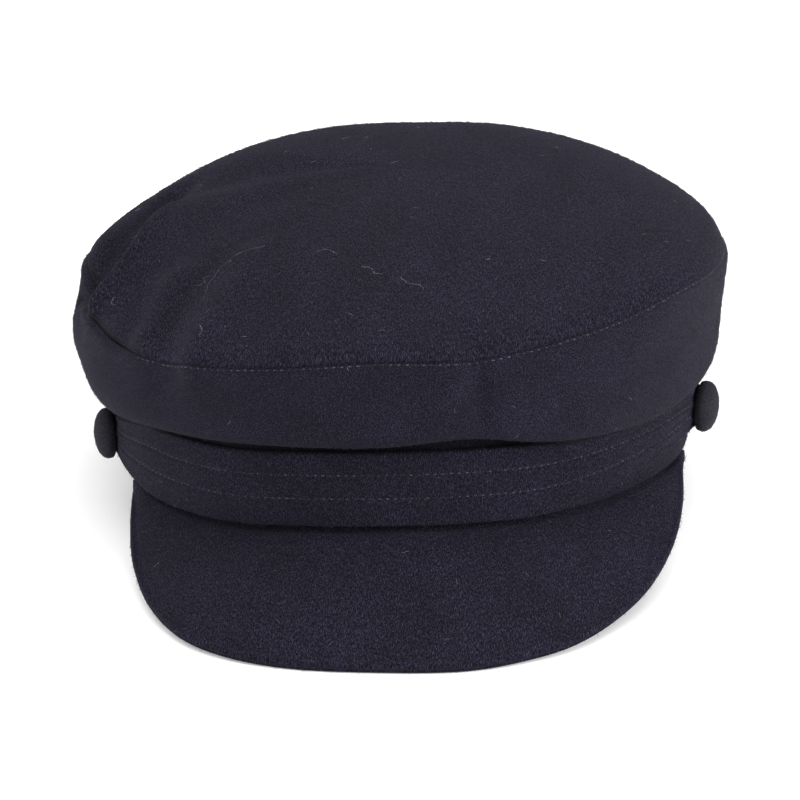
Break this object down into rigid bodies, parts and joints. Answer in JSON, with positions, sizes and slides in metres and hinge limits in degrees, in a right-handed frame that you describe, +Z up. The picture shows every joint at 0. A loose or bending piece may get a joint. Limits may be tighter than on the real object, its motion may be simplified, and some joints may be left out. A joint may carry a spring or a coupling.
{
  "type": "breton fisherman cap",
  "caption": "Soft breton fisherman cap in dark navy wool, with a domed crown over a headband, a stitched front strap with covered buttons and a short curved peak.",
  "frame": {"origin": "middle of the cap's footprint, on the surface it rests on", "axes": "+Z up, -Y to the front where the peak is, +X to the right seen from the front"},
  "size_m": [0.206, 0.2556, 0.1034],
  "materials": {
    "wool_cloth": "felted wool with a short nap, matt",
    "button_cloth": "the same wool stretched over a button, matt",
    "thread": "sewing thread, slightly bright"
  },
  "bodies": {
    "root": {"headband": "wool_cloth", "crown_side": "wool_cloth", "crown_top": "wool_cloth", "peak": "wool_cloth", "strap": "wool_cloth", "button_left": "button_cloth", "button_right": "button_cloth"}
  },
  "joints": []
}
